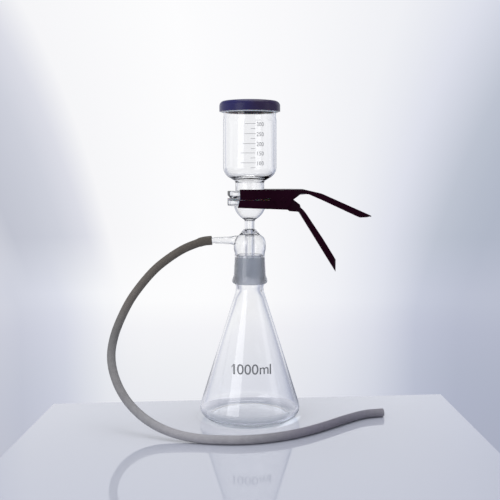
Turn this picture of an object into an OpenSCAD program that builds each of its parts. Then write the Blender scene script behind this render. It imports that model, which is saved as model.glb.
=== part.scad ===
// Vacuum filtration unit: a conical flask with a ground neck, a glass filter head with a sintered disc
// and a side arm, a funnel with its cap, a sprung fork clamp over the two flanges, and a vacuum hose.
// Millimetres, +Z up. The origin is the middle of the flask's foot, on the surface it stands on.
// The side arm points to -X and the clamp's handles point to +X.

/* [Flask] */
// Outside diameter of the flask at its widest
flask_d = 133; // [124:1:140]
// Height of the flask, from its foot to the rim of its neck
flask_h = 217; // [200:1:235]
// Thickness of the heavy blown wall
flask_wall = 3.8; // [2.4:0.1:4.4]
// Thickness of the ground neck, above the waist
neck_wall = 2.2; // [1.8:0.1:2.8]
// Radius of the round corner above the foot
corner_r = 13.4; // [9:0.2:17]
// How far the middle of the foot is pushed up
punt_h = 1.5; // [0.5:0.1:3]
// Outside diameter of the waist, just under the ground joint
waist_d = 36.6; // [35:0.2:37.8]

/* [Ground joint] */
// Diameter of the joint's large end
joint_d = 40; // [38:0.5:43]
// Ground length of the joint
joint_l = 38; // [32:1:42]
// Wall of the socket round the joint
socket_wall = 1.6; // [1.4:0.1:2]
// Diameter of the thick lip at the socket's mouth
lip_d = 46.8; // [46:0.2:50]

/* [Filter head] */
// How far the bulb stands out past the top of the joint
bulb_swell = 1.4; // [0.6:0.1:3]
// Height from the flask's rim to where the bulb's dome starts
bulb_l = 14.6; // [12:0.2:20]
// Radius of the dome's shoulder
dome_r = 14; // [12:0.5:16]
// Outside diameter of the stem that runs down through the bulb
stem_d = 13; // [11:0.5:14]
// Bore of the stem
stem_bore = 9.4; // [7:0.2:10]
// Height from the ring seal up to the flange's ground face
bowl_l = 40.9; // [38:0.1:46]
// How far the stem's drip tip hangs past the ground zone's top, down into the neck
tip_drop = 34; // [25:1:45]
// Outside diameter of the bowl under the flange
bowl_d = 40; // [39:0.5:42]
// Radius of the curve of the bowl's side
bowl_curve = 26; // [24:0.5:27]
// Thickness of the bowl's wall
bowl_wall = 1.8; // [1.5:0.1:2.2]
// Thickness of the sintered disc
frit_t = 3.5; // [2.5:0.1:4.5]

/* [Side arm] */
// Height of the side arm's axis above the flask's rim
arm_rise = 19; // [16:0.5:21]
// Distance from the flask's axis to the mouth of the hose
arm_reach = 50; // [44:1:60]
// Length of the ridged end inside the hose
barb_l = 16; // [12:1:18]

/* [Flanges] */
// Diameter of both ground flanges
flange_d = 58.8; // [56:0.2:62]
// Thickness of the filter head's flange
head_flange_t = 9.9; // [8:0.1:11]
// Thickness of the funnel's flange
funnel_flange_t = 9.4; // [8:0.1:11]
// Chamfer at the lower edge of the funnel's flange
flange_chamfer = 3.4; // [1:0.2:4]
// Diameter of the filter membrane laid between the flanges
membrane_d = 50; // [47:0.5:52]
// Thickness of the membrane
membrane_t = 0.2; // [0.15:0.05:0.4]

/* [Funnel] */
// Outside diameter of the funnel's body
funnel_d = 70; // [64:1:74]
// Height of the funnel, from its ground face to its rim
funnel_h = 122.9; // [110:0.1:140]
// Wall of the funnel
funnel_wall = 2; // [1.6:0.1:2.4]
// Outside diameter of the throat above the flange
throat_d = 37.8; // [35:0.2:38.4]
// Height of the throat above the flange
throat_l = 8.9; // [8:0.1:14]

/* [Cap] */
// Thickness of the cap's skirt
cap_wall = 4.5; // [3:0.1:6]
// Height of the cap
cap_h = 15.7; // [13:0.1:20]
// Thickness of the cap's top, at its middle
cap_top_t = 5.2; // [4:0.1:6]
// Radius of the cap's top edge
cap_edge_r = 6.4; // [3:0.1:7]
// Radius of the cap's slightly domed top
cap_dome_r = 280; // [200:20:600]

/* [Clamp] */
// Thickness of the stamped sheet
sheet_t = 1.6; // [1.2:0.1:2]
// Distance from the flask's axis to the clamp's pin
pin_x = 43; // [42:0.5:46]
// Diameter of the pin
pin_d = 5; // [4:0.5:6]
// Width across the handles
handle_w = 26; // [22:1:32]
// Depth of the flanks along the handles
flank_h = 8.4; // [6:0.2:9]
// Angle of the upper handle below the horizontal
upper_angle = 24; // [20:1:30]
// Angle of the lower handle below the horizontal
lower_angle = 58.2; // [50:0.1:65]
// Diameter of the spring's wire
wire_d = 1.8; // [1.4:0.1:2]
// Full turns in the spring's coil
spring_turns = 5; // [4:1:6]

/* [Hose] */
// Outside diameter of the hose
hose_d = 11; // [10:0.5:12]
// Bore of the hose
hose_bore = 7; // [6:0.5:7.5]

/* [Hidden] */
$fn = 96;

// The joint's radius falls by 1 in 20 from its large end
joint_z = flask_h - joint_l;
function joint_r(z) = joint_d / 2 - (z - joint_z) / 20;

// Heights up the stack
bulb_r = joint_r(flask_h) + socket_wall + bulb_swell;
dome_z = flask_h + bulb_l;
arm_z = flask_h + arm_rise;
dome_turn = 66;
seal_z = dome_z + dome_r * sin(dome_turn);
seal_h = 6.6;
seal_top = seal_z + seal_h;
bowl_r = bowl_d / 2;
stem_r = stem_d / 2;
head_top = seal_top + bowl_l;
head_flange_z = head_top - head_flange_t;
flange_r = flange_d / 2;
funnel_z = head_top + membrane_t;
flange_top = funnel_z + funnel_flange_t;
funnel_top = funnel_z + funnel_h;
funnel_r = funnel_d / 2;
throat_r = throat_d / 2;

// The clamp: jaws rest this far off the flanges, and its width clears them at each side
jaw_gap = 0.3;
clamp_w = flange_d + 2 * (1 + sheet_t);
nest_gap = 0.3;
pin_z = head_flange_z + 8;
pin_r = pin_d / 2;
lobe_r = 10.4;
upper_top = flange_top + jaw_gap + sheet_t;
lower_base = head_flange_z - jaw_gap - sheet_t;
coil_r = 5.2;
wire_r = wire_d / 2;

// ---- Points and paths ----

function unit(v) = v / norm(v);
function reverse(p) = [for (i = [len(p) - 1:-1:0]) p[i]];
function last_of(p) = p[len(p) - 1];

// Points on an arc about c, from angle a0 to angle a1
function arc(c, r, a0, a1, n = 12) =
    [for (i = [0:n]) let (a = a0 + (a1 - a0) * i / n) c + r * [cos(a), sin(a)]];

// Angle of the outward normal of the line that runs from arc (c0, r0) round to a counter-curve (c1, r1)
function tangent_angle(c0, r0, c1, r1, side) =
    atan2(c1.y - c0.y, c1.x - c0.x) + side * acos((r0 + r1) / norm(c1 - c0));

// Corner b of the path a, b, c, rounded to radius r
function round_corner(a, b, c, r) =
    let (u = unit(a - b), v = unit(c - b), half = acos(u * v) / 2)
    let (m = b + unit(u + v) * r / sin(half), p = b + u * r / tan(half) - m, q = b + v * r / tan(half) - m)
    let (a0 = atan2(p.y, p.x), turn = (atan2(q.y, q.x) - a0 + 540) % 360 - 180)
    r == 0 ? [b] : arc(m, r, a0, a0 + turn, 6);

// Open path of [x, y, corner radius] points
function flat(p) = [p.x, p.y];
function rounded_path(p) = [
    for (i = [0:len(p) - 1])
        each (i == 0 || i == len(p) - 1 ? [flat(p[i])]
              : round_corner(flat(p[i - 1]), flat(p[i]), flat(p[i + 1]), p[i].z))
];

// Normals to the left of each stretch of a path, and the path moved by d to its left
function left_normals(p) = [for (i = [0:len(p) - 2]) unit([p[i].y - p[i + 1].y, p[i + 1].x - p[i].x])];
function moved_left(p, d) =
    let (n = left_normals(p), last = len(n) - 1)
    [for (i = [0:len(p) - 1])
        let (a = n[max(i - 1, 0)], b = n[min(i, last)])
        p[i] + d * (a + b) / (1 + a * b)];

// A sheet of thickness t on the left of a path
function strip(p, t) = concat(p, reverse(moved_left(p, t)));

// Smooth curve through the points p, with n steps from each to the next
function between(a, b, c, d, t) =
    (2 * b + (c - a) * t + (2 * a - 5 * b + 4 * c - d) * t * t + (3 * b - a - 3 * c + d) * t * t * t) / 2;
function smooth_curve(p, n) =
    let (last = len(p) - 1)
    [for (i = [0:last - 1], k = [0:n - 1])
        between(p[max(i - 1, 0)], p[i], p[i + 1], p[min(i + 2, last)], k / n), p[last]];

// ---- Swept tube: rings about a path, none of it parallel to Y ----

function tangent(p, i) = unit(p[min(i + 1, len(p) - 1)] - p[max(i - 1, 0)]);
function ring(c, t, r, sides) =
    let (u = unit(cross([0, 1, 0], t)), v = cross(t, u))
    [for (k = [0:sides - 1]) c + r * (cos(360 * k / sides) * u + sin(360 * k / sides) * v)];

module tube(path, radii, bores, sides) {
    hollow = len(bores) > 0;
    last = len(path) - 1;
    layers = hollow ? [radii, bores] : [radii];
    points = [for (layer = layers, i = [0:last]) each ring(path[i], tangent(path, i), layer[i], sides)];
    // Number of the point k on ring i, on the outside (0) or in the bore (1)
    function at(layer, i, k) = (layer * (last + 1) + i) * sides + k % sides;
    function quad(a, b, c, d) = [[a, b, c], [a, c, d]];
    outside = [for (i = [0:last - 1], k = [0:sides - 1])
        each quad(at(0, i, k), at(0, i + 1, k), at(0, i + 1, k + 1), at(0, i, k + 1))];
    inside = [for (i = [0:last - 1], k = [0:sides - 1])
        each quad(at(1, i, k), at(1, i, k + 1), at(1, i + 1, k + 1), at(1, i + 1, k))];
    first_end = [for (k = [0:sides - 1])
        each quad(at(0, 0, k), at(0, 0, k + 1), at(1, 0, k + 1), at(1, 0, k))];
    last_end = [for (k = [0:sides - 1])
        each quad(at(0, last, k), at(1, last, k), at(1, last, k + 1), at(0, last, k + 1))];
    discs = [[for (k = [0:sides - 1]) at(0, 0, k)], [for (k = [sides - 1:-1:0]) at(0, last, k)]];
    faces = hollow ? concat(outside, inside, first_end, last_end) : concat(outside, discs);
    polyhedron(points, faces, convexity = 6);
}

// ---- Flask ----

foot_c = [flask_d / 2 - corner_r, corner_r];
waist_arc = 14;
waist_turn = acos((waist_d / 2 + waist_arc - joint_d / 2) / waist_arc);
waist_c = [waist_d / 2 + waist_arc, joint_z - waist_arc * sin(waist_turn)];
flask_slope = tangent_angle(foot_c, corner_r, waist_c, waist_arc, -1);
foot_ring = 8;

module flask() {
    rim_r = neck_wall / 2;
    rim_z = flask_h - rim_r;
    flare_z = joint_z + 9;
    outer = concat(
        [[0, punt_h], [foot_c.x - foot_ring, 0]],
        arc(foot_c, corner_r, -90, flask_slope),
        arc(waist_c, waist_arc, 180 + flask_slope, 180 - waist_turn),
        [[joint_r(joint_z), joint_z]],
        arc([joint_r(rim_z) - rim_r, rim_z], rim_r, 0, 180, 10));
    inner = concat(
        [[joint_r(flare_z) - neck_wall, flare_z]],
        arc(waist_c, waist_arc + flask_wall, 150, 180 + flask_slope),
        arc(foot_c, corner_r - flask_wall, flask_slope, -90),
        [[foot_c.x - foot_ring, flask_wall], [0, punt_h + flask_wall]]);
    color([0.86, 0.90, 0.95, 0.35]) rotate_extrude() polygon(concat(outer, inner));
}

// ---- Filter head: socket, bulb, ring seal, stem, bowl and flange blown as one piece ----

bulb_inner_r = bulb_r - socket_wall;
dome_c = [bulb_r - dome_r, dome_z];
swell_z = flask_h + 8;

// Inside of the socket's top, the bulb and the dome, from the joint up to the stem
bulb_inside = concat(
    [[joint_r(flask_h), flask_h], [bulb_inner_r - 0.9, swell_z - 4], [bulb_inner_r, swell_z]],
    arc(dome_c, dome_r - socket_wall, 0, dome_turn - 4));

// Profile of the arm from the bulb's wall to its tip: distance from the flask's axis, radius
arm_start = dome_c.x + 7.4;
arm_tip = arm_reach + barb_l;
barbs = 4;
arm_profile = concat(
    [[arm_start, 0], [arm_start, 7.2], [bulb_r - 4, 7.6], [bulb_r - 1.6, 7.8], [bulb_r, 7.4],
     [bulb_r + 1.5, 6.6], [bulb_r + 3, 5.9], [bulb_r + 5, 5.4], [bulb_r + 9, 5], [arm_reach - 6, 4.4]],
    [for (i = [0:barbs - 1])
        each [[arm_reach + i * barb_l / barbs, 3.4], [arm_reach + (i + 0.25) * barb_l / barbs, 4.2]]],
    [[arm_tip, 3.2], [arm_tip, 0]]);
arm_bore = 2.2;

module toward_arm() {
    translate([0, 0, arm_z]) rotate([0, -90, 0]) children();
}

module side_arm() {
    difference() {
        toward_arm() rotate_extrude() polygon([for (p = arm_profile) [p.y, p.x]]);
        rotate_extrude() polygon(concat([[0, flask_h]], bulb_inside, [[0, last_of(bulb_inside).y]]));
    }
}

module filter_head() {
    lip_c = [lip_d / 2 - 3, joint_z + 3];
    frit_z = head_top - frit_t;
    bore_r = stem_bore / 2;
    tip_z = flask_h - tip_drop;
    edge = 1.1;
    // The bowl is widest inside the flange, rounds in to bowl_turn and meets the stem in a fillet
    bowl_turn = 56;
    bowl_mid = 5.25;
    bowl_c = [bowl_r + 1.5 - bowl_curve, head_top - bowl_mid];
    bowl_foot = bowl_c + bowl_curve * [cos(bowl_turn), -sin(bowl_turn)];
    bowl_in = bowl_curve - bowl_wall;
    fillet = 4;
    fillet_z = bowl_foot.y - (bowl_foot.x - stem_r) / tan(bowl_turn) - fillet * tan(bowl_turn / 2);
    floor_z = bowl_foot.y + 0.2;
    half_section = concat(
        // Bore of the stem, the bowl's thick floor and inside, and the seat of the disc
        [[bore_r, tip_z], [bore_r, floor_z - 1.7], [bore_r + 0.4, floor_z - 0.7], [bore_r + 1.7, floor_z],
         [bore_r + 3.3, floor_z + 0.6]],
        arc(bowl_c, bowl_in, 1 - bowl_turn, asin((bowl_mid - frit_t) / bowl_in)),
        [[bowl_r, frit_z], [bowl_r, head_top]],
        // Flange
        [[flange_r - 0.5, head_top], [flange_r, head_top - 0.5]],
        arc([flange_r - edge, head_flange_z + edge], edge, 0, -90, 5),
        // Outside of the bowl and of the bare stem
        arc(bowl_c, bowl_curve, -asin((head_flange_t - bowl_mid) / bowl_curve), -bowl_turn),
        arc([stem_r + fillet, fillet_z], fillet, 180 - bowl_turn, 180, 5),
        // Thick ring seal, then the dome, the bulb and the socket
        [[stem_r, seal_top + 1], [stem_r + 0.5, seal_top + 0.4], [stem_r + 1.9, seal_top - 0.1],
         [stem_r + 4.3, seal_top - 2.7], [stem_r + 6.7, seal_top - 5.2]],
        arc(dome_c, dome_r, dome_turn - 4, 0),
        [[bulb_r, swell_z], [bulb_r - 0.9, swell_z - 4]],
        [[joint_r(flask_h) + socket_wall, flask_h],
         [joint_r(joint_z + 11) + socket_wall, joint_z + 11]],
        [[lip_c.x + 1.2, joint_z + 7.6]],
        arc(lip_c, 3, 50, -90, 8),
        // Ground cone, then up inside the bulb and down the stem's outside
        [[joint_r(joint_z), joint_z]],
        bulb_inside,
        [[stem_r + 5.1, seal_z - 0.8], [stem_r + 3.1, seal_z - 0.3], [stem_r + 1.4, seal_z - 0.7],
         [stem_r + 0.4, seal_z - 1.8], [stem_r, seal_z - 3.4], [stem_r, tip_z]]);
    color([0.82, 0.87, 0.93, 0.4]) difference() {
        union() {
            rotate_extrude() polygon(half_section);
            side_arm();
        }
        toward_arm() translate([0, 0, bulb_inner_r - 4]) cylinder(r = arm_bore, h = arm_tip);
        // The drip tip is cut on the slant
        translate([0, 0, tip_z + 2]) rotate([0, 24, 0]) translate([0, 0, -12])
            cylinder(r = stem_r + 3, h = 12);
    }
}

module frit_disc() {
    color("white") translate([0, 0, head_top - frit_t]) cylinder(r = bowl_r, h = frit_t);
}

module membrane_filter() {
    color("ghostwhite") translate([0, 0, head_top]) cylinder(d = membrane_d, h = membrane_t);
}

// ---- Funnel and its cap ----

module funnel() {
    neck_arc = 6;
    shoulder_arc = 16;
    neck_c = [throat_r + neck_arc, flange_top + throat_l];
    body_c = [funnel_r - shoulder_arc, neck_c.y + 22.1];
    slope = tangent_angle(body_c, shoulder_arc, neck_c, neck_arc, 1);
    waist_z = funnel_top - 18;
    rim_r = funnel_wall / 2;
    // The side, moved inwards by d
    function side(d) = concat(
        arc(neck_c, neck_arc + d, 180, 180 + slope, 6),
        arc(body_c, shoulder_arc - d, slope, 0),
        [[funnel_r - d, waist_z - 4], [funnel_r - 0.7 - d, waist_z]]);
    outer = concat(
        [[throat_r - funnel_wall, funnel_z], [flange_r - flange_chamfer, funnel_z],
         [flange_r, funnel_z + flange_chamfer]],
        arc([flange_r - 1, flange_top - 1], 1, 0, 90, 5),
        arc([throat_r + 0.8, flange_top + 0.8], 0.8, -90, -180, 4),
        side(0));
    rim = arc([funnel_r - 0.7 - rim_r, funnel_top - rim_r], rim_r, 0, 180, 10);
    color([0.86, 0.90, 0.95, 0.35]) rotate_extrude()
        polygon(concat(outer, rim, reverse(side(funnel_wall))));
}

module lid() {
    top_z = funnel_top + cap_top_t;
    base_z = top_z - cap_h;
    in_r = funnel_r + 0.2;
    out_r = in_r + cap_wall;
    edge_x = out_r - cap_edge_r;
    dome_in = cap_dome_r - cap_edge_r;
    dome_c = [0, top_z - cap_dome_r];
    dome_turn = asin(edge_x / dome_in);
    color([0.17, 0.18, 0.42]) rotate_extrude() polygon(concat(
        [[0, funnel_top], [in_r, funnel_top], [in_r, base_z + 0.8], [in_r + 0.8, base_z]],
        arc([out_r - 0.4, base_z + 0.4], 0.4, -90, 0, 3),
        arc([edge_x, dome_c.y + dome_in * cos(dome_turn)], cap_edge_r, 0, 90 - dome_turn, 10),
        arc(dome_c, cap_dome_r, 90 - 0.85 * dome_turn, 90, 5)));
}

// ---- Clamp: two stamped channels, folded down at both sides, that turn on one pin ----

// Upper spine: flat over the fork, a slight fall, then the handle
upper_fork_x = -12.8;
upper_bend_x = 70.2;
upper_knee_x = 94;
upper_end_x = 158.5;
upper_fall = 12.8;
upper_knee_z = upper_top - (upper_knee_x - upper_bend_x) * tan(upper_fall);
upper_tip = [upper_end_x, upper_knee_z - (upper_end_x - upper_knee_x) * tan(upper_angle)];
upper_spine = rounded_path([
    [upper_fork_x, upper_top, 0], [upper_bend_x, upper_top, 8], [upper_knee_x, upper_knee_z, 20],
    [upper_tip.x, upper_tip.y, 0]]);

// Lower spine: nearly flat under the fork, a step down under the ears, then the handle
lower_fork_x = -15.3;
lower_ramp = [48.8, lower_base - 2.5];
lower_step = [50.8, lower_base - 4.2];
lower_bend = [63.9, lower_base - 5.5];
lower_reach = 89;
lower_tip = lower_bend + lower_reach * [cos(lower_angle), -sin(lower_angle)];
lower_spine = rounded_path([
    [lower_fork_x, lower_base, 0], [lower_ramp.x, lower_ramp.y, 2], [lower_step.x, lower_step.y, 2],
    [lower_bend.x, lower_bend.y, 5], [lower_tip.x, lower_tip.y, 0]]);

// Plans, half of each: the lower jaw steps in behind its fork, so that its ears nest in the upper's
handle_end_w = handle_w - 3;
ear_w = clamp_w - 2 * (sheet_t + nest_gap);
function both_sides(half) = rounded_path(concat(half, [for (p = reverse(half)) [p.x, -p.y, p.z]]));
upper_plan = both_sides([
    [upper_fork_x, clamp_w / 2, 0], [57, clamp_w / 2, 14], [77, handle_w / 2, 14],
    [upper_tip.x, handle_end_w / 2, 9]]);
lower_plan = both_sides([
    [lower_fork_x, clamp_w / 2, 0], [22.5, clamp_w / 2, 2], [26, ear_w / 2, 2], [53, ear_w / 2, 12],
    [70, handle_w / 2, 12], [lower_tip.x, handle_end_w / 2, 9]]);

// Point of a flank's edge, back along a handle from its tip and off the sheet by depth, with a corner radius
function on_handle(tip, angle, back, depth, r) = [
    tip.x - back * cos(angle) + depth * sin(angle), tip.y + back * sin(angle) + depth * cos(angle), r];

// The flanks all but meet along the fork, and open to a narrow slit just before the ears
slit_x = 25.4;
upper_flank = rounded_path([
    [upper_fork_x, upper_top, 0],
    [upper_fork_x + 0.5, pin_z + 0.2, 1],
    [3, pin_z + 0.2, 6],
    [slit_x, pin_z + 2.5, 1],
    [slit_x + 1.4, pin_z + 2.5, 0.6],
    [slit_x + 2.6, pin_z - 1.5, 1],
    [40, pin_z - 1.5, 4],
    [56, pin_z + 0.7, 1],
    [64.6, upper_top - 6.6, 1],
    [66.4, upper_top - 4.4, 1],
    [69.5, upper_top - 5.6, 2],
    [77, upper_top - 6.4, 6],
    on_handle(upper_tip, upper_angle, 66, 0.8 - flank_h, 12),
    on_handle(upper_tip, upper_angle, 12.5, -flank_h, 7),
    on_handle(upper_tip, upper_angle, 4.5, -flank_h / 2, 5),
    [upper_tip.x, upper_tip.y, 0]]);

lower_flank = rounded_path([
    [lower_fork_x, lower_base, 0],
    [lower_fork_x + 2.2, pin_z - 0.2, 1],
    [3, pin_z - 0.2, 6],
    [slit_x + 0.4, pin_z - 0.6, 1],
    [slit_x + 1.8, pin_z + 4, 1],
    [36, pin_z + 4, 0],
    [56, pin_z + 0.9, 1],
    [65.2, lower_bend.y + 9.3, 1],
    [66, lower_bend.y + 5.7, 1],
    [70, lower_bend.y + 2, 3],
    on_handle(lower_tip, lower_angle, 82, flank_h - 1.5, 6),
    on_handle(lower_tip, lower_angle, 42, flank_h, 20),
    on_handle(lower_tip, lower_angle, 12.5, flank_h, 7),
    on_handle(lower_tip, lower_angle, 4, flank_h * 0.62, 5),
    [lower_tip.x, lower_tip.y, 0]]);

// A side-view outline carried through the clamp's width
module across(w) {
    rotate([90, 0, 0]) linear_extrude(height = w, center = true) children();
}

module standing(low, high) {
    translate([0, 0, low]) linear_extrude(height = high - low) children();
}

// Sheet along the spine, cut to the plan, with flanks folded from its edges, a fork slot and two pin holes
module stamped_jaw(spine, spine_side, flank, plan, slot_r, hole_r) {
    low = min([for (p = spine) p.y]) - 30;
    high = max([for (p = spine) p.y]) + 30;
    difference() {
        union() {
            intersection() {
                across(clamp_w + 10) polygon(strip(spine, spine_side * sheet_t));
                standing(low, high) polygon(plan);
            }
            intersection() {
                across(clamp_w + 10) {
                    polygon(concat(flank, reverse(spine)));
                    translate([pin_x, pin_z]) circle(r = lobe_r);
                }
                standing(low, high) polygon(strip(plan, -sheet_t));
            }
        }
        standing(low, high) {
            circle(r = slot_r);
            translate([-60, -slot_r]) square([60, 2 * slot_r]);
        }
        translate([pin_x, 0, pin_z]) rotate([90, 0, 0]) cylinder(r = hole_r, h = clamp_w + 10, center = true);
    }
}

module clamp_upper_jaw() {
    color([0.12, 0.06, 0.10])
        stamped_jaw(upper_spine, -1, upper_flank, upper_plan, throat_r + 0.7, pin_r + 0.06);
}

module clamp_lower_jaw() {
    color([0.11, 0.05, 0.09]) stamped_jaw(lower_spine, 1, lower_flank, lower_plan, bowl_r + 2.2, pin_r);
}

module clamp_pin() {
    head_y = clamp_w / 2 + 0.15;
    color([0.2, 0.2, 0.22]) translate([pin_x, 0, pin_z]) rotate([90, 0, 0]) {
        cylinder(r = pin_r, h = 2 * head_y, center = true);
        for (flip = [0, 180])
            rotate([flip, 0, 0]) translate([0, 0, head_y]) cylinder(r1 = 4, r2 = 2.8, h = 1.1);
    }
}

// Close-wound coil round the pin, with a straight leg out to the inside of each handle
module clamp_spring() {
    pin = [pin_x, pin_z];
    rest = sheet_t + wire_r + 0.1;
    lower_rise = lower_bend - lower_step;
    upper_end = [80, lookup(80, upper_spine) - rest / cos(upper_fall)];
    lower_end = [61, lookup(61, lower_spine) + rest * norm(lower_rise) / lower_rise.x];
    function bearing(p) = atan2(p.y - pin.y, p.x - pin.x);
    upper_leg = bearing(upper_end) - asin(coil_r / norm(upper_end - pin));
    lower_leg = bearing(lower_end) + asin(coil_r / norm(lower_end - pin));
    start = 90 + upper_leg;
    turn = 180 + lower_leg - upper_leg + 360 * spring_turns;
    steps = 18 * spring_turns;
    half_w = (wire_d + 0.1) * turn / 720;
    coil = [for (i = [0:steps])
        let (a = start + turn * i / steps)
        [pin_x + coil_r * cos(a), half_w * (2 * i / steps - 1), pin_z + coil_r * sin(a)]];
    path = concat([[upper_end.x, -half_w, upper_end.y]], coil, [[lower_end.x, half_w, lower_end.y]]);
    color("silver") tube(path, [for (p = path) wire_r], [], 8);
}

// ---- Vacuum hose ----

// Route of the hose's middle line, drawn for a mouth 50 out and 236 up; height 0 lies on the surface
hose_route = [
    [-50, 0, 236], [-60, 0, 235], [-70, -1, 232], [-87, -2, 225], [-105, -4, 214], [-124, -7, 199],
    [-142, -12, 179], [-158, -19, 156], [-171, -29, 128], [-177, -37, 107], [-178, -46, 89], [-174, -55, 71],
    [-165, -66, 53], [-152, -77, 37], [-135, -89, 24], [-116, -101, 15], [-97, -112, 10], [-78, -120, 7],
    [-57, -126, 0], [-33, -130, 0], [-8, -130, 0], [18, -124, 0], [46, -111, 0], [72, -92, 0], [98, -67, 0],
    [125, -38, 0], [152, -14, 0], [178, -5, 0]];
hose_r = hose_d / 2;
hose_points = [for (p = hose_route) [p.x + 50 - arm_reach, p.y, max(hose_r, p.z * arm_z / 236)]];

module vacuum_hose() {
    path = smooth_curve(hose_points, 2);
    barb_end = -arm_reach - barb_l;
    // The hose swells where it is stretched over the ridges
    function swell(p, r, wide) = p.x > barb_end && p.z > arm_z / 2 ? wide : r;
    color([0.58, 0.57, 0.56]) tube(path, [for (p = path) swell(p, hose_r, hose_r + 0.6)],
                                   [for (p = path) swell(p, hose_bore / 2, 4.2)], 10);
}

flask();
filter_head();
frit_disc();
membrane_filter();
funnel();
lid();
clamp_upper_jaw();
clamp_lower_jaw();
clamp_pin();
clamp_spring();
vacuum_hose();
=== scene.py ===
from math import cos, pi, radians, sin, tan

import bpy
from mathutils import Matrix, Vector


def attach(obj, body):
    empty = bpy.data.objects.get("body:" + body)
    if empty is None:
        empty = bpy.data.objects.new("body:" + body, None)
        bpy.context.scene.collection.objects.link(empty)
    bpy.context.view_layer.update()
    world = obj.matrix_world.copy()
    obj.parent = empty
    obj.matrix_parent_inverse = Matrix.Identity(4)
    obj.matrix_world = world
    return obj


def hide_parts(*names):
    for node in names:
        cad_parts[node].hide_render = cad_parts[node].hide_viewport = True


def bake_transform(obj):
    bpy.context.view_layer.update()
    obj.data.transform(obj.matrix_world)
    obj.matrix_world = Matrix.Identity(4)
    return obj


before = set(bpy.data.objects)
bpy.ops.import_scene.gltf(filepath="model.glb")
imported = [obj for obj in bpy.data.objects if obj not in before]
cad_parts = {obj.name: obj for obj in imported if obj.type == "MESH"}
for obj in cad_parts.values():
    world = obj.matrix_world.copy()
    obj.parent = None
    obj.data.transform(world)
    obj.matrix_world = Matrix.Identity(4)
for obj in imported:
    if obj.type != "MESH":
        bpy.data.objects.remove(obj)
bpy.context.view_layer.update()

# ---- Camera ----
# A long lens 1.2 m in front of the unit, at two thirds of its height and tipped a little down.
camera = bpy.data.objects.new("camera", bpy.data.cameras.new("camera"))
bpy.context.scene.collection.objects.link(camera)
bpy.context.scene.camera = camera
camera.data.lens = 65.45
camera.data.sensor_width = 36
camera.location = (0.0003, -1.198, 0.32636)
camera.rotation_euler = (radians(90 - 4.92), 0, 0)

# ---- Vacuum hose ----
# One length of thick-walled grey rubber hose, extruded, cut square at both ends and pushed over the ridges
# of the side arm. It falls to the bench in one loop and lies round the front of the flask. Its colour is
# graded by place as painted shade: darker higher up the loop, and darker towards the right where it lies.
hose_route = [
    (-50, 0, 236), (-60, 0, 235), (-70, -1, 232), (-87, -2, 225), (-105, -4, 214), (-124, -7, 199),
    (-142, -12, 179), (-158, -19, 156), (-171, -29, 128), (-177, -37, 107), (-178, -46, 89), (-174, -55, 71),
    (-165, -66, 53), (-152, -77, 37), (-135, -89, 24), (-116, -101, 15), (-97, -112, 10), (-78, -120, 7),
    (-57, -126, 0), (-33, -130, 0), (-8, -130, 0), (18, -124, 0), (46, -111, 0), (72, -92, 0), (98, -67, 0),
    (125, -38, 0), (152, -14, 0), (178, -5, 0)]
hose_r = 0.0055
hose_wall = 0.002
lying_z = 5.5  # height of the centre line where the hose lies on the bench, in mm
swell = 1.1  # how far the rubber stretches over the ridges of the arm
ridges_end = -0.0675
merge_gap = 1e-6


def smooth_line(points, steps):
    """The smooth curve through the points, with steps from each to the next."""
    line = []
    for i in range(len(points) - 1):
        a, b, c, d = (points[min(max(i + k, 0), len(points) - 1)] for k in (-1, 0, 1, 2))
        for t in (k / steps for k in range(steps)):
            line.append((2 * b + (c - a) * t + (2 * a - 5 * b + 4 * c - d) * t ** 2
                         + (3 * b - a - 3 * c + d) * t ** 3) / 2)
    return line + [points[-1]]


hose_line = smooth_line([Vector((x, y, max(z, lying_z))) / 1000 for x, y, z in hose_route], steps=6)


def only(piece):
    """Selects this object alone and makes it active."""
    bpy.ops.object.select_all(action="DESELECT")
    piece.select_set(True)
    bpy.context.view_layer.objects.active = piece


def apply_modifiers(piece):
    only(piece)
    for modifier in list(piece.modifiers):
        bpy.ops.object.modifier_apply(modifier=modifier.name)


hose_curve = bpy.data.curves.new("vacuum_hose", "CURVE")
hose_curve.dimensions = "3D"
hose_curve.twist_mode = "MINIMUM"
hose_curve.bevel_depth = hose_r
hose_curve.bevel_resolution = 10
hose_spline = hose_curve.splines.new("POLY")
hose_spline.points.add(len(hose_line) - 1)
for spline_point, place in zip(hose_spline.points, hose_line):
    spline_point.co = (*place, 1)
    spline_point.radius = swell if place.x > ridges_end and place.z > 0.1 else 1
tube = bpy.data.objects.new("hose", hose_curve)
bpy.context.scene.collection.objects.link(tube)
only(tube)
bpy.ops.object.convert(target="MESH")
hose = bpy.context.object
hose.name = "hose"
bpy.ops.object.mode_set(mode="EDIT")
bpy.ops.mesh.select_all(action="SELECT")
bpy.ops.mesh.remove_doubles(threshold=merge_gap)
bpy.ops.mesh.normals_make_consistent(inside=False)
bpy.ops.object.mode_set(mode="OBJECT")
wall = hose.modifiers.new("wall", "SOLIDIFY")
wall.thickness = hose_wall
wall.offset = -1
edge = hose.modifiers.new("edge", "BEVEL")
edge.width = 0.0003
edge.segments = 2
edge.limit_method = "ANGLE"
edge.angle_limit = radians(50)
apply_modifiers(hose)
bpy.ops.object.shade_smooth_by_angle(angle=radians(40))


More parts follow.
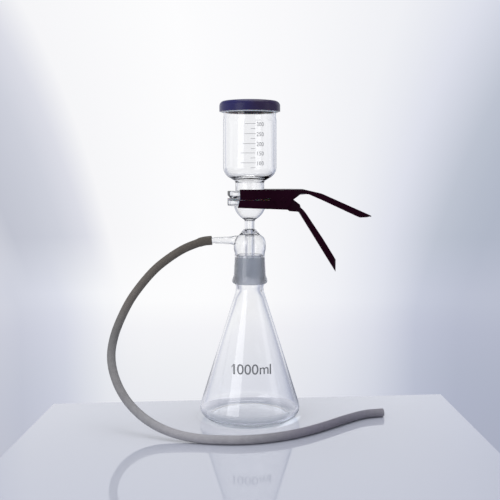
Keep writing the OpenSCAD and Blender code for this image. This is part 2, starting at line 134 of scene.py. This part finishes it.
class Nodes:
    """A new material's node tree, with one call for each node."""

    def __init__(self, name):
        self.material = bpy.data.materials.new(name)
        self.material.use_nodes = True
        self.tree = self.material.node_tree
        self.shader = self.tree.nodes["Principled BSDF"]
        self.output = self.tree.nodes["Material Output"]

    def add(self, kind, inputs=None, **settings):
        node = self.tree.nodes.new("ShaderNode" + kind)
        for key, value in settings.items():
            setattr(node, key, value)
        for key, value in (inputs or {}).items():
            self.put(node, key, value)
        return node

    def put(self, node, key, value):
        socket = node.inputs[key]
        if isinstance(value, bpy.types.NodeSocket):
            self.tree.links.new(value, socket)
        else:
            socket.default_value = value

    def surface(self, **inputs):
        for key, value in inputs.items():
            self.put(self.shader, key.replace("_", " "), value)

    def place(self):
        """Where a point of the piece is, in metres."""
        return self.add("TexCoord").outputs["Object"]

    def noise(self, scale, detail=2.0, roughness=0.5, where=None):
        return self.add("TexNoise", {"Vector": where or self.place(), "Scale": scale, "Detail": detail,
                                     "Roughness": roughness}).outputs["Fac"]

    def span(self, value, low, high, to_low, to_high):
        """The value's range from low to high, moved to another range."""
        return self.add("MapRange", {"Value": value, "From Min": low, "From Max": high, "To Min": to_low,
                                     "To Max": to_high}).outputs[0]

    def ramp(self, value, *stops):
        node = self.add("ValToRGB", {"Fac": value})
        elements = node.color_ramp.elements
        while len(elements) < len(stops):
            elements.new(0.5)
        for element, (position, colour) in zip(elements, stops):
            element.position = position
            element.color = (*colour, 1)
        return node.outputs["Color"]

    def bump(self, height, distance, strength=1.0):
        return self.add("Bump", {"Height": height, "Distance": distance, "Strength": strength}).outputs[0]


def finish_as(piece, *materials):
    piece.data.materials.clear()
    for material in materials:
        piece.data.materials.append(material)


rubber = Nodes("hose_rubber")
rubber_place = rubber.add("SeparateXYZ", {"Vector": rubber.place()}).outputs
# Painted shade: the rubber darkens higher up the loop, and mostly from left to right where it lies; the
# mottle below is the rubber's own uneven tone.
loop_painted_shade = rubber.ramp(rubber.span(rubber_place["Z"], 0.0, 0.24, 0, 1),
                        (0.0, (0.29, 0.28, 0.29)), (0.35, (0.23, 0.224, 0.226)), (0.48, (0.17, 0.166, 0.166)),
                        (0.66, (0.155, 0.138, 0.125)), (1.0, (0.1, 0.085, 0.07)))
lying_painted_shade = rubber.ramp(rubber.span(rubber_place["X"], -0.12, 0.18, 0, 1),
                         (0.0, (0.32, 0.315, 0.33)), (0.07, (0.37, 0.36, 0.385)),
                         (0.27, (0.36, 0.35, 0.375)), (0.37, (0.33, 0.32, 0.345)),
                         (0.46, (0.275, 0.268, 0.295)), (0.57, (0.225, 0.215, 0.255)),
                         (0.67, (0.195, 0.182, 0.228)), (0.77, (0.178, 0.168, 0.21)),
                         (0.9, (0.195, 0.187, 0.228)), (1.0, (0.24, 0.23, 0.265)))
rubber_colour_and_shade = rubber.add("Mix", {0: rubber.span(rubber_place["Z"], 0.02, 0.05, 0, 1),
                                 6: lying_painted_shade, 7: loop_painted_shade}, data_type="RGBA").outputs[2]
rubber_mottle = rubber.span(rubber.noise(160, 4, 0.6), 0.3, 0.7, 0.9, 1.08)
rubber.surface(
    Base_Color=rubber.add("VectorMath", {0: rubber_colour_and_shade, 1: rubber_mottle}, operation="MULTIPLY").outputs[0],
    Roughness=rubber.span(rubber.noise(90, 3), 0.3, 0.7, 0.5, 0.62),
    Normal=rubber.bump(rubber.noise(700, 4, 0.6), 0.00012),
    Specular_IOR_Level=0.4)
finish_as(hose, rubber.material)
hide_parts("vacuum_hose")
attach(hose, "apparatus")

# ---- Flask ----
# A heavy-walled conical flask of clear borosilicate glass, blown in a mould in one piece: pushed-up foot,
# round corner, straight cone, waist, and a neck ground outside to a cone that carries the filter head.
def arc(cx, cz, r, start, end, steps=12):
    angles = [radians(start + (end - start) * k / steps) for k in range(steps + 1)]
    return [(cx + r * cos(a), cz + r * sin(a)) for a in angles]


def turned(name, profile, sides=160):
    """A body of revolution about Z from points of radius and height in millimetres."""
    bpy.ops.object.select_all(action="DESELECT")
    bpy.ops.mesh.primitive_plane_add(size=0.001, location=(0, 0, 0))
    piece = bpy.context.object
    piece.name = name
    bpy.ops.object.mode_set(mode="EDIT")
    bpy.ops.mesh.merge(type="CENTER")
    steps = [Vector((r / 1000, 0, z / 1000)) for r, z in profile]
    bpy.ops.transform.translate(value=steps[0])
    for before, after in zip(steps, steps[1:]):
        bpy.ops.mesh.extrude_region_move(TRANSFORM_OT_translate={"value": after - before})
    bpy.ops.mesh.select_all(action="SELECT")
    bpy.ops.mesh.remove_doubles(threshold=merge_gap)
    bpy.ops.mesh.spin(steps=sides, angle=2 * pi, center=(0, 0, 0), axis=(0, 0, 1))
    bpy.ops.mesh.select_all(action="SELECT")
    bpy.ops.mesh.remove_doubles(threshold=merge_gap)
    bpy.ops.mesh.normals_make_consistent(inside=False)
    bpy.ops.object.mode_set(mode="OBJECT")
    bpy.ops.object.shade_smooth_by_angle(angle=radians(35))
    return piece


joint_play = 0.05
glass_ior = 1.473
foot_corner = (53.1, 13.4)
waist = (32.3, 172.313)


def joint_r(z):
    """Radius of the 1 in 10 ground taper at height z."""
    return 20 - (z - 179) / 20


def cone_r(z):
    """Radius of the outside of the cone at height z."""
    return 71.304 - 0.31152 * z


def cone_wall(z):
    """The wall along a radius at height z, thinnest at mid height."""
    return 2.3 + 1.2 * ((z - 105) / 85) ** 2


flask = turned("flask_body", [
    (0, 2.2), (20, 1.9), (38, 1.2), (45, 0.65), (50, 0.27), (52.8, 0.04),
    *arc(*foot_corner, 13.4, -90, 17.3, 20),
    *[(cone_r(z), z) for z in range(30, 165, 10)],
    *arc(*waist, 14, 197.3, 151.47, 14), (joint_r(179) - joint_play, 179.1),
    *[(joint_r(z) - joint_play, z) for z in range(184, 215, 6)],
    *arc(17.055 - joint_play, 215.9, 1.1, 0, 180, 10),
    (16.6, 203), (17.35, 188), *arc(*waist, 17.8, 150, 197.3, 16),
    *[(cone_r(z) - cone_wall(z), z) for z in range(160, 20, -10)],
    *arc(*foot_corner, 10.2, 17.3, -90, 20), (50.4, 3.27), (43, 3.8), (36, 4.35), (20, 5), (0, 5.3)])


def clear_glass(name, low_colour=(0.995, 0.997, 1.0), high_colour=(0.995, 0.997, 1.0), low=0.0, high=0.4):
    """Glass whose colour changes from one value at the height low to another at the height high; a darker
    colour low down is painted shade.
    """
    glass = Nodes(name)
    height = glass.add("SeparateXYZ", {"Vector": glass.place()}).outputs["Z"]
    glass.surface(Base_Color=glass.ramp(glass.span(height, low, high, 0, 1),
                                        (0.0, low_colour), (1.0, high_colour)),
                  Roughness=0.0, IOR=glass_ior, Transmission_Weight=1.0,
                  Normal=glass.bump(glass.noise(9, 1), 0.0006))
    return glass.material


def ground_glass(name):
    glass = Nodes(name)
    glass.surface(Base_Color=(0.83, 0.86, 0.905, 1), IOR=glass_ior, Transmission_Weight=1.0,
                  Roughness=glass.span(glass.noise(400, 2), 0.3, 0.7, 0.5, 0.6))
    return glass.material


def grind(piece, low, high, inner, outer):
    """Gives the faces between two heights and two distances from the ground taper the second finish."""
    for face in piece.data.polygons:
        off = Vector(face.center[:2]).length * 1000 - joint_r(face.center.z * 1000)
        if low < face.center.z * 1000 < high and inner < off < outer:
            face.material_index = 1


# The flask's glass is darker and bluer towards its foot: painted shade.
flask_glass = clear_glass("flask_glass", low_colour=(0.975, 0.979, 0.998), low=0.02, high=0.14)
ground = ground_glass("ground_glass")
finish_as(flask, flask_glass, ground)
grind(flask, 179.2, 214, -0.6, 0.4)
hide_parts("flask")
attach(flask, "apparatus")

# ---- Filter head ----
# One piece of lampworked glass: a ground socket and its bulb, a stem with a slanted drip tip sealed through
# the top of the bulb, a round bowl under a thick ground flange, and the side arm fused to the bulb.
bowl = (-4.5, 286.64)
bulb = (7.1, 231.6)
head = turned("filter_head_body", [
    (4.7, 183), *[(4.7, z) for z in range(190, 261, 7)],
    (4.7, 265.2), (5.1, 265.9), (6, 266.1), (9.2, 266.2), (9.9, 266.6),
    *arc(*bowl, 24.8, -54, 4.05, 18), (19.98, 288.39), (19.98, 291.89), (28.9, 291.86),
    (29.4, 291.36), *arc(28.3, 283.09, 1.1, 0, -90, 6), *arc(*bowl, 26, -10.3, -56, 16),
    *arc(10.5, 260.59, 4, 124, 180, 8), (6.5, 251.2), (6.8, 250.8), (8.4, 250.5), (8.9, 250.1),
    *arc(*bulb, 14, 64, 0, 16), (21.1, 228), (21.1, 225), (20.8, 223), (20.2, 221),
    (19.8, 218.6), (19.7, 217),
    (20.1, 208), (20.6, 199), (21.05, 190.4), (21.5, 188.6), (22.3, 186.6), (23.0, 184.8), (23.4, 183),
    (23.3, 181.2), (22.5, 179.8), (21.3, 179),
    (joint_r(179) + joint_play, 179), *[(joint_r(z) + joint_play, z) for z in range(184, 215, 6)],
    (joint_r(217) + joint_play, 217), (18.8, 221), (19.5, 223), (20, 225), *arc(*bulb, 12.9, 0, 70, 14),
    (9.5, 244), (7.5, 244.3), (6.8, 244.1), (6.5, 243.5), *[(6.5, z) for z in range(234, 189, -7)],
    (6.5, 183), (4.7, 183)])
for corner in head.data.vertices:
    if corner.co.z < 0.184 and Vector(corner.co[:2]).length < 0.007:
        corner.co.z = max(0.183, 0.185 - corner.co.x * tan(radians(24)))


def joined(piece, other, how):
    cut = piece.modifiers.new("cut", "BOOLEAN")
    cut.operation = how
    cut.object = other
    cut.solver = "EXACT"
    apply_modifiers(piece)
    bpy.data.objects.remove(other)


def laid_to_arm(piece):
    """Turns a body that stands on the origin to point along the side arm."""
    only(piece)
    piece.rotation_euler = (0, -pi / 2, 0)
    piece.location = (0, 0, 0.236)
    bpy.ops.object.transform_apply(location=True, rotation=True, scale=True)
    return piece


arm = laid_to_arm(turned("arm", [
    (0, 14.5), (6.4, 14.5), (6.6, 18.5), (6.4, 20.5), (6, 21.8), (5.6, 23.4), (5.3, 26.1), (5, 30.1),
    (4.7, 37), (4.4, 44), (3.4, 50),
    *[(r, 50 + 4 * k + x) for k in range(4) for r, x in ((4.2, 1), (4.05, 1.5), (3.4, 4))],
    (3.2, 66), (0, 66)], 64))
bulb_space = turned("space", [(0, 215), (20.3, 215), (20.3, bulb[1]), *arc(*bulb, 13.2, 0, 75, 14),
                              (0, bulb[1] + 13.2 * sin(radians(75)))])
joined(arm, bulb_space, "DIFFERENCE")
joined(head, arm, "UNION")
joined(head, laid_to_arm(turned("bore", [
    (0, 10), (5.5, 10), (5.5, 19.6), (5.0, 21.5), (4.2, 23.6), (3.7, 26.1), (3.4, 30), (3.1, 42), (2.4, 48),
    (2.2, 52), (2.2, 70), (0, 70)], 64)), "DIFFERENCE")
only(head)
bpy.ops.object.shade_smooth_by_angle(angle=radians(35))

head_glass = clear_glass("head_glass")
finish_as(head, head_glass, ground)
grind(head, 179.2, 214, -0.2, 0.6)
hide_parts("filter_head")
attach(head, "apparatus")

# ---- Sintered disc ----
# A disc of crushed glass, sintered white and porous, fused into the seat in the head's flange.
sinter = Nodes("sintered_glass")
sinter_grain = sinter.noise(1400, 3, 0.6)
sinter.surface(Base_Color=sinter.ramp(sinter_grain, (0.3, (0.62, 0.64, 0.67)), (0.7, (0.86, 0.87, 0.89))),
               Roughness=0.75, Normal=sinter.bump(sinter_grain, 0.0002), Subsurface_Weight=0.3)
finish_as(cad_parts["frit_disc"], sinter.material)

# ---- Membrane filter ----
# A white disc of porous film laid on the sintered disc and held between the two flanges.
film = Nodes("membrane")
film.surface(Base_Color=film.ramp(film.noise(300, 3), (0.3, (0.82, 0.82, 0.81)), (0.7, (0.9, 0.9, 0.89))),
             Roughness=0.6, Normal=film.bump(film.noise(1800, 2), 0.00004))
finish_as(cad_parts["membrane_filter"], film.material)

# ---- Funnel ----
# A glass cup blown from one tube: ground flange, straight throat, round shoulder and parallel body, with
# its rim fire-polished.
funnel = turned("funnel_body", [
    (18.1, 292.1), (26, 292.1), (29.4, 295.49), *arc(28.4, 300.49, 1, 0, 90, 6),
    *arc(19.7, 302.29, 0.8, -90, -180, 5), (18.9, 306), *arc(23.1, 311.46, 4.2, 180, 120.84, 8),
    *arc(19, 332.49, 16, -59.16, 0, 20), *[(35, z) for z in range(345, 390, 10)], (35, 393), (34.85, 394.2),
    (34.45, 395.9), (34.3, 397.2), (34.3, 406),
    *arc(33.3, 413.99, 1, 0, 180, 10), (32.3, 406), (32.3, 397.2), (32.45, 395.9), (32.85, 394.2), (33, 393),
    *[(33, z) for z in range(385, 335, -10)],
    *arc(19.4, 332.6, 13.6, 0, -60, 20), *arc(20.9, 315, 4.0, 106, 180, 8), (16.9, 304.5), (18.1, 300.5),
    (18.1, 292.1)])
finish_as(funnel, clear_glass("funnel_glass"))
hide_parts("funnel")
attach(funnel, "apparatus")

# ---- Cap ----
# A push-on cap moulded in dark blue plastic, with a thick skirt and a round top edge. Its colour is graded
# from bluer on the left to darker and duller on the right: painted shade.
cap = Nodes("cap_plastic")
cap_x = cap.add("SeparateXYZ", {"Vector": cap.place()}).outputs["X"]
cap_shade_and_tone = cap.add("Math", {0: cap_x, 1: cap.span(cap.noise(60, 3), 0.3, 0.7, -0.006, 0.006)}).outputs[0]
# Painted shade across the cap from left to right, with a little random tone along the boundary.
cap.surface(Base_Color=cap.ramp(cap.span(cap_shade_and_tone, -0.02, 0.015, 0, 1), (0.0, (0.025, 0.023, 0.108)),
                                (1.0, (0.031, 0.021, 0.062))),
            Roughness=cap.span(cap.noise(35, 3), 0.3, 0.7, 0.24, 0.32), Specular_IOR_Level=0.22,
            Normal=cap.bump(cap.noise(240, 2), 0.00008))
finish_as(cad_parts["lid"], cap.material)

# ---- White ring under the cap ----
# A thin white ring in the mouth of the cap, just below the skirt: a painted highlight standing for the glint
# along the skirt's lower edge.
glint_ring = turned("cap_glint_ring", [(34.45, 403.2), (36.3, 403.2), (36.5, 403.4), (36.5, 404.5), (34.45, 404.5),
                           (34.45, 403.2)])
glint_white = Nodes("glint_ring_white")
glint_white.surface(Base_Color=glint_white.ramp(glint_white.noise(250, 2),
                                          (0.3, (0.8, 0.8, 0.87)), (0.7, (0.86, 0.86, 0.92))),
                 Roughness=0.4, Subsurface_Weight=0.2)
finish_as(glint_ring, glint_white.material)
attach(glint_ring, "apparatus")

# ---- Clamp jaws ----
# Two channels stamped from steel sheet, fork and handle in one, with folded flanks, coated in a dark
# cherry enamel of slightly uneven tone.
enamel = Nodes("clamp_enamel")
enamel.surface(
    Base_Color=enamel.ramp(enamel.noise(50, 3),
                           (0.3, (0.0105, 0.0013, 0.0052)), (0.7, (0.0145, 0.0021, 0.0076))),
    Roughness=enamel.span(enamel.noise(120, 3), 0.3, 0.7, 0.34, 0.46), Specular_IOR_Level=0.06,
    Specular_Tint=(1.0, 0.5, 0.85, 1),
    Normal=enamel.bump(enamel.noise(420, 2), 0.00012))

tip_length = 0.009  # the part of each handle's end that is drawn out
broken_edge = 0.0004


def merged_copy(name, node):
    """A copy of a CAD part with its loose triangles joined into one skin."""
    piece = bpy.data.objects.new(name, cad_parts[node].data.copy())
    bpy.context.scene.collection.objects.link(piece)
    only(piece)
    bpy.ops.mesh.customdata_custom_splitnormals_clear()
    bpy.ops.object.mode_set(mode="EDIT")
    bpy.ops.mesh.select_all(action="SELECT")
    bpy.ops.mesh.remove_doubles(threshold=merge_gap)
    bpy.ops.object.mode_set(mode="OBJECT")
    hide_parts(node)
    return piece


def softened(name, node, body, bevel):
    """A stamped part with its sharp edges broken."""
    piece = merged_copy(name, node)
    bpy.ops.object.mode_set(mode="EDIT")
    bpy.ops.mesh.select_all(action="SELECT")
    bpy.ops.mesh.dissolve_limited(angle_limit=radians(1))
    bpy.ops.object.mode_set(mode="OBJECT")
    edges = piece.modifiers.new("edges", "BEVEL")
    edges.width = bevel
    edges.segments = 3
    edges.limit_method = "ANGLE"
    edges.angle_limit = radians(40)
    apply_modifiers(piece)
    bpy.ops.object.shade_smooth_by_angle(angle=radians(35))
    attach(piece, body)
    return piece


for name, node, body, slope, extra in (("upper_jaw_stamping", "clamp_upper_jaw", "upper_jaw", 24, 0.0015),
                                       ("lower_jaw_stamping", "clamp_lower_jaw", "lower_jaw", 58.2, 0.005)):
    jaw = softened(name, node, body, broken_edge)
    end = max(corner.co.x for corner in jaw.data.vertices)
    for corner in jaw.data.vertices:
        share = max(0, 1 - (end - corner.co.x) / tip_length)
        corner.co += Vector((cos(radians(slope)), 0, -sin(radians(slope)))) * extra * share
    finish_as(jaw, enamel.material)

# ---- Clamp pin and spring ----
# A turned pin riveted through both jaws and enamelled with them, and a coil of bright spring wire round it
# whose legs press the handles apart. The coil isn't wound.
finish_as(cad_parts["clamp_pin"], enamel.material)
wire = Nodes("spring_steel")
wire.surface(Base_Color=wire.ramp(wire.noise(500, 3), (0.3, (0.42, 0.42, 0.43)), (0.7, (0.58, 0.58, 0.6))),
             Metallic=1.0, Roughness=wire.span(wire.noise(300, 3), 0.3, 0.7, 0.22, 0.36))
spring = merged_copy("torsion_spring", "clamp_spring")
bpy.ops.object.shade_smooth_by_angle(angle=radians(50))
finish_as(spring, wire.material)
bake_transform(spring)

# ---- Printed marks ----
# Fired grey enamel: the funnel's volume scale and the flask's capacity, screened on the outside of the glass.
ink = Nodes("print_enamel")
ink.surface(Base_Color=ink.ramp(ink.noise(900, 3), (0.3, (0.15, 0.155, 0.17)), (0.7, (0.22, 0.225, 0.24))),
            Roughness=0.5)
in_front = -0.2  # where the print stands in Y before it is wrapped on the glass
capital = 0.73  # height of a capital in a font of size 1
strip = 0.0012  # width of the strips that follow the curve


def printed(name, glass, lines, words, depth=0.00006):
    """Lines (x0, x1, z, height) and words (text, x, z, height, stretch) in mm, wrapped on a glass's front."""
    parts = []
    for x0, x1, z, height in lines:
        bpy.ops.mesh.primitive_grid_add(x_subdivisions=24, y_subdivisions=1, size=1)
        part = bpy.context.object
        part.scale = ((x1 - x0) / 1000, height / 1000, 1)
        part.rotation_euler = (pi / 2, 0, 0)
        part.location = ((x0 + x1) / 2000, in_front, z / 1000)
        parts.append(part)
    for text, x, z, height, stretch in words:
        bpy.ops.object.text_add()
        part = bpy.context.object
        part.data.body = text
        part.data.size = height / 1000 / capital
        part.data.offset = (height - 6) * 0.00001
        part.data.space_character = 1.06 if height < 6 else 1
        bpy.ops.object.convert(target="MESH")
        part = bpy.context.object
        part.scale.x = stretch
        part.rotation_euler = (pi / 2, 0, 0)
        part.location = (x / 1000, in_front, z / 1000)
        parts.append(part)
    bpy.ops.object.select_all(action="DESELECT")
    for part in parts:
        part.select_set(True)
    bpy.context.view_layer.objects.active = parts[0]
    bpy.ops.object.transform_apply(location=True, rotation=True, scale=True)
    if len(parts) > 1:
        bpy.ops.object.join()
    mark = bpy.context.object
    mark.name = name
    bpy.ops.object.mode_set(mode="EDIT")
    low = min(v.co.x for v in mark.data.vertices)
    high = max(v.co.x for v in mark.data.vertices)
    for k in range(1, int((high - low) / strip)):
        bpy.ops.mesh.select_all(action="SELECT")
        bpy.ops.mesh.bisect(plane_co=(low + strip * k, 0, 0), plane_no=(1, 0, 0))
    bpy.ops.object.mode_set(mode="OBJECT")
    wrap = mark.modifiers.new("wrap", "SHRINKWRAP")
    wrap.target = glass
    wrap.wrap_method = "PROJECT"
    wrap.use_project_y = True
    wrap.use_negative_direction = False
    wrap.use_positive_direction = True
    wrap.offset = depth
    layer = mark.modifiers.new("film", "SOLIDIFY")
    layer.thickness = depth
    layer.offset = 1
    apply_modifiers(mark)
    finish_as(mark, ink.material)
    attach(mark, "apparatus")
    return mark


line_end, line_t = 7.2, 0.45
scale_heights = [(300, 387.3), (250, 374.6), (200, 362), (150, 350.2), (100, 337.7)]
printed("volume_scale", funnel,
        [(x, line_end, z, line_t) for x, (_, z) in zip((-6, -6.8, -8.8, -11.4, -11.4), scale_heights)]
        + [(1, line_end, z - 6.3, line_t) for _, z in scale_heights],
        [(str(volume), 8.6, z - 3.1, 5.3, 0.82) for volume, z in scale_heights])
printed("capacity_mark", flask, [], [
    ("1", -24.8, 66.9, 13, 1.02), ("/", -24.2, 75.1, 4.3, 2.6), ("000", -16.9, 67.2, 13, 1.07),
    ("m", 11.8, 67.2, 13, 0.98), ("l", 24.6, 66.4, 13, 1.02)])

# ---- Bench and backdrop ----
# A plain pale glossy bench top, set a little askew, in front of a pale backdrop that falls off to both sides
# in bands. The top gives out a little light under the flask, beside it and in a ring behind its foot.
bpy.ops.mesh.primitive_cube_add(size=1, location=(0, 0, -0.0061))
bench = bpy.context.object
bench.name = "bench"
bench.scale = (1, 1, 0.012)
bpy.ops.object.transform_apply(location=True, rotation=True, scale=True)
for corner in bench.data.vertices:
    corner.co.x, corner.co.y = {
        (False, True): (-0.277, 0.062), (True, True): (0.281, 0.118),
        (False, False): (-0.300, -0.58), (True, False): (0.306, -0.58)}[corner.co.x > 0, corner.co.y > 0]
top = Nodes("bench_top")
flat_place = top.add("VectorMath", {0: top.place(), 1: (1.0, 1.0, 0.0)}, operation="MULTIPLY").outputs[0]
from_flask = top.add("VectorMath", {0: flat_place}, operation="LENGTH").outputs["Value"]
across = top.add("SeparateXYZ", {"Vector": top.place()}).outputs
to_front_right = top.add("VectorMath", {0: top.place(), 1: (0.87, -0.5, 0.0)},
                         operation="DOT_PRODUCT").outputs["Value"]


def times(a, b):
    return top.add("Math", {0: a, 1: b}, operation="MULTIPLY").outputs[0]


def plus(a, b):
    return top.add("Math", {0: a, 1: b}, operation="ADD").outputs[0]


pool = top.span(from_flask, 0.058, 0.071, 0.28, 0)
crescent = times(top.span(to_front_right, 0.0565, 0.0605, 0, 0.3), top.span(from_flask, 0.065, 0.069, 1, 0))
full_ring = times(top.span(from_flask, 0.0468, 0.0476, 0, 0.9), top.span(from_flask, 0.0482, 0.049, 1, 0))
ring = times(full_ring, top.span(across["Y"], 0.0, 0.02, 0, 1))
top.surface(Base_Color=(0.565, 0.585, 0.675, 1), Roughness=0.06, Coat_Weight=0.85, Coat_Roughness=0.05,
            Emission_Color=(0.8, 0.88, 1.0, 1), Emission_Strength=plus(plus(pool, crescent), ring))
finish_as(bench, top.material)

world = bpy.data.worlds.new("studio")
bpy.context.scene.world = world
world.use_nodes = True
sky = world.node_tree
sky.nodes.clear()


def sky_node(kind, inputs=None, **settings):
    node = sky.nodes.new("ShaderNode" + kind)
    for key, value in settings.items():
        setattr(node, key, value)
    for key, value in (inputs or {}).items():
        if isinstance(value, bpy.types.NodeSocket):
            sky.links.new(value, node.inputs[key])
        else:
            node.inputs[key].default_value = value
    return node


def sky_math(operation, a, b=0.0):
    return sky_node("Math", {0: a, 1: b}, operation=operation).outputs[0]


def sky_ramp(value, stops):
    node = sky_node("ValToRGB", {"Fac": value})
    while len(node.color_ramp.elements) < len(stops):
        node.color_ramp.elements.new(0.5)
    for element, (position, colour) in zip(node.color_ramp.elements, stops):
        element.position = position
        element.color = (*colour, 1)
    return node.outputs["Color"]


towards = sky_node("SeparateXYZ", {"Vector": sky_node("TexCoord").outputs["Generated"]}).outputs
narrow = sky_node("MapRange", {"Value": towards["Z"], "From Min": -0.15, "From Max": 0.18, "To Min": 1.08,
                               "To Max": 0.6}).outputs[0]
bearing = sky_math("MULTIPLY", sky_math("ARCTAN2", towards["X"], towards["Y"]), narrow)
turn = sky_math("ADD", sky_math("DIVIDE", bearing, 2 * pi), 0.5)
low_behind = [(-15.3, (0.62, 0.64, 0.73)), (-12.8, (0.70, 0.72, 0.81)), (-10.1, (0.90, 0.91, 0.94)),
              (-8, (0.97, 0.97, 0.98)), (-3, (0.98, 0.98, 0.99)), (2, (0.94, 0.94, 0.96)),
              (6, (0.86, 0.87, 0.92)),
              (8.8, (0.74, 0.76, 0.84)), (11.4, (0.56, 0.59, 0.70)), (14.2, (0.50, 0.53, 0.64))]
high_behind = [(-14, (0.53, 0.55, 0.63)), (-11.5, (0.60, 0.62, 0.70)), (-9.8, (0.72, 0.73, 0.80)),
               (-8.6, (0.92, 0.92, 0.94)), (-3, (0.98, 0.98, 0.99)), (2, (0.94, 0.94, 0.96)),
               (6, (0.86, 0.87, 0.91)),
               (8.6, (0.72, 0.74, 0.83)), (11.6, (0.49, 0.53, 0.62)), (15, (0.42, 0.46, 0.56))]
low_left = [(-180, (0.20, 0.21, 0.24)), (-60, (0.34, 0.35, 0.40)), (-40, (0.52, 0.53, 0.60)),
            (-28, (0.70, 0.71, 0.77)), (-20, (0.68, 0.69, 0.75))]
low_right = [(42, (0.40, 0.43, 0.51)), (52, (0.75, 0.75, 0.82)), (66, (0.8, 0.8, 0.85)),
             (84, (0.28, 0.29, 0.33)), (180, (0.20, 0.21, 0.24))]
high_left = [(-180, (0.20, 0.21, 0.24)), (-110, (0.26, 0.27, 0.31)), (-92, (0.39, 0.40, 0.44)),
             (-76, (0.92, 0.92, 0.95)), (-20, (0.9, 0.9, 0.93))]
high_right = [(22, (0.72, 0.73, 0.8)), (31, (0.88, 0.88, 0.92)), (39, (0.34, 0.35, 0.4)),
              (58, (0.22, 0.23, 0.27)),
              (66, (0.85, 0.85, 0.9)), (84, (0.28, 0.29, 0.33)), (180, (0.20, 0.21, 0.24))]
low_band, high_band = (
    sky_ramp(turn, [(0.5 + degrees / 360, colour) for degrees, colour in band])
    for band in (low_left + low_behind + low_right, high_left + high_behind + high_right))
level = sky_node("MapRange", {"Value": towards["Z"], "From Min": -0.13, "From Max": -0.07}).outputs[0]
around = sky_node("Mix", {0: level, 6: low_band, 7: high_band}, data_type="RGBA").outputs[2]
upward = sky_ramp(sky_math("ADD", sky_math("MULTIPLY", towards["Z"], 0.5), 0.5), [
    (0.0, (0.5, 0.5, 0.5)), (0.28, (0.7, 0.7, 0.72)), (0.38, (0.85, 0.86, 0.89)), (0.395, (0.88, 0.89, 0.91)),
    (0.414, (0.93, 0.93, 0.95)), (0.43, (1, 1, 1)), (0.6, (1, 1, 1)), (0.72, (0.42, 0.43, 0.45)),
    (0.85, (0.3, 0.3, 0.32)), (1.0, (0.3, 0.3, 0.32))])
backdrop = sky_node("VectorMath", {0: around, 1: upward}, operation="MULTIPLY").outputs[0]
rays = sky_node("LightPath").outputs
seen = sky_math("MAXIMUM", rays["Is Camera Ray"],
                sky_math("MAXIMUM", rays["Is Glossy Ray"], rays["Is Transmission Ray"]))
lit = sky_node("Background", {"Color": (0.94, 0.96, 1.0, 1), "Strength": 0.68})
shown = sky_node("Background", {"Color": backdrop, "Strength": 1.0})
both = sky_node("MixShader", {0: seen, 1: lit.outputs[0], 2: shown.outputs[0]})
sky_node("OutputWorld", {"Surface": both.outputs[0]})


# ---- Lamps ----
# A tall softbox front left, a large one overhead and a weak one on the right.
def softbox(name, place, target, width, height, radiance, lean=0):
    lamp = bpy.data.objects.new(name, bpy.data.lights.new(name, "AREA"))
    bpy.context.scene.collection.objects.link(lamp)
    lamp.data.shape = "RECTANGLE"
    lamp.data.size = width
    lamp.data.size_y = height
    lamp.data.energy = radiance * pi * width * height
    lamp.location = place
    lamp.rotation_euler = (Vector(target) - Vector(place)).to_track_quat("-Z", "Y").to_euler()
    lamp.rotation_euler.rotate_axis("Z", radians(lean))
    return lamp


softbox("softbox_left", (-0.942, -1.184, 0.62), (0, 0, 0.25), 0.78, 1.3, 1.9, -10)
softbox("softbox_top", (0.1, 0.15, 1.6), (0, 0, 0.2), 1.2, 1.2, 2)
softbox("softbox_right", (1.3, -0.5, 0.6), (0, 0, 0.2), 0.5, 1.0, 0.5)

bpy.context.scene.view_settings.view_transform = "Standard"
